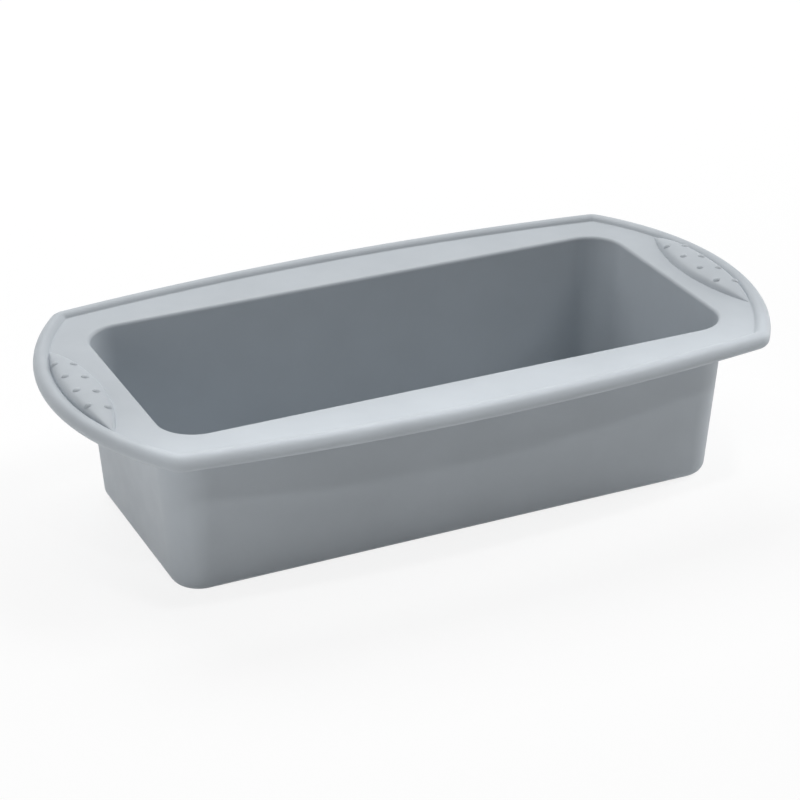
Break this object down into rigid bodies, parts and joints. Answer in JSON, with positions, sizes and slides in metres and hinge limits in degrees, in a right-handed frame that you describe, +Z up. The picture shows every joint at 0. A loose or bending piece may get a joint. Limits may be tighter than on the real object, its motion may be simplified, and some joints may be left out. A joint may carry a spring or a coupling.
{
  "type": "silicone loaf pan",
  "caption": "Rectangular silicone loaf pan with drafted walls, a barrel-shaped rim flange, a wire-stiffened rolled bead and a raised pimpled thumb grip on each end ear.",
  "frame": {"origin": "on the table plane, under the middle of the flat base", "axes": "+X along the pan's length, from ear to ear; +Y across it; +Z up, out of the open top"},
  "size_m": [0.2758, 0.148, 0.0675],
  "materials": {
    "silicone": "matte blue-grey moulded silicone",
    "frame_wire": "drawn stainless wire"
  },
  "bodies": {
    "root": {"pan_body": "silicone", "rim_frame": "frame_wire"}
  },
  "joints": []
}
